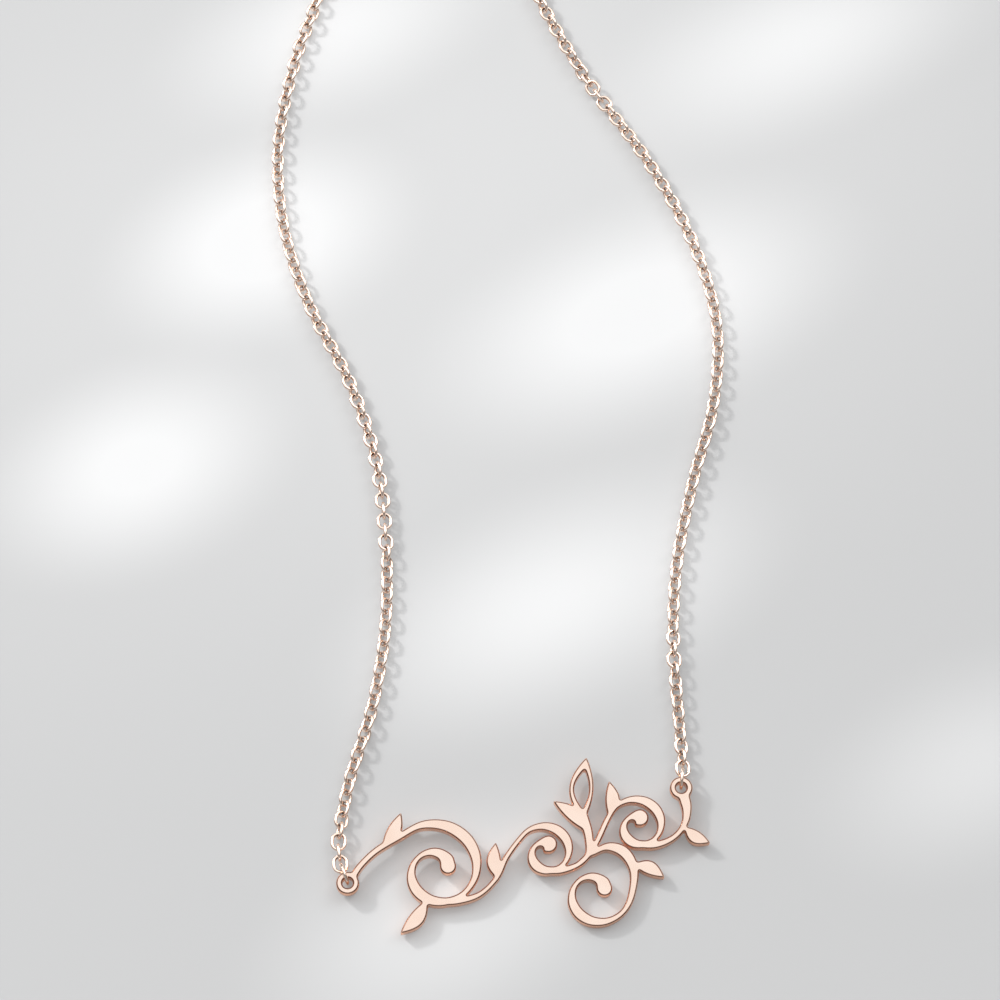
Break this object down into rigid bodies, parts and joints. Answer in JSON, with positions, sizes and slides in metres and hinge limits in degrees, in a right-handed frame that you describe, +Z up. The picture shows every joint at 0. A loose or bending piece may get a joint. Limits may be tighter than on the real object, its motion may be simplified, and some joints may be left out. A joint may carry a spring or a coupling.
{
  "type": "nameplate necklace",
  "caption": "Necklace with a flat pierced scrollwork plate hung by an eye at each end on a fine cable chain that closes with a spring ring clasp.",
  "frame": {"origin": "on the surface that the necklace lies on, below the middle of the box round the whole loop", "axes": "+Y from the plate towards the clasp, along the longest extent; +Z up from the surface, along the shortest extent; +X to the right as the plate is read"},
  "size_m": [0.0598, 0.2024, 0.0028],
  "materials": {
    "plate": "polished rose gold",
    "chain": "polished rose gold",
    "clasp": "polished rose gold"
  },
  "bodies": {
    "root": {"nameplate": "plate", "ring_left": "chain", "ring_right": "chain", "chain_left": "chain", "chain_right": "chain", "chain_back_left": "chain", "chain_back_right": "chain", "clasp": "clasp", "clasp_ring": "chain", "end_ring": "chain"}
  },
  "joints": []
}
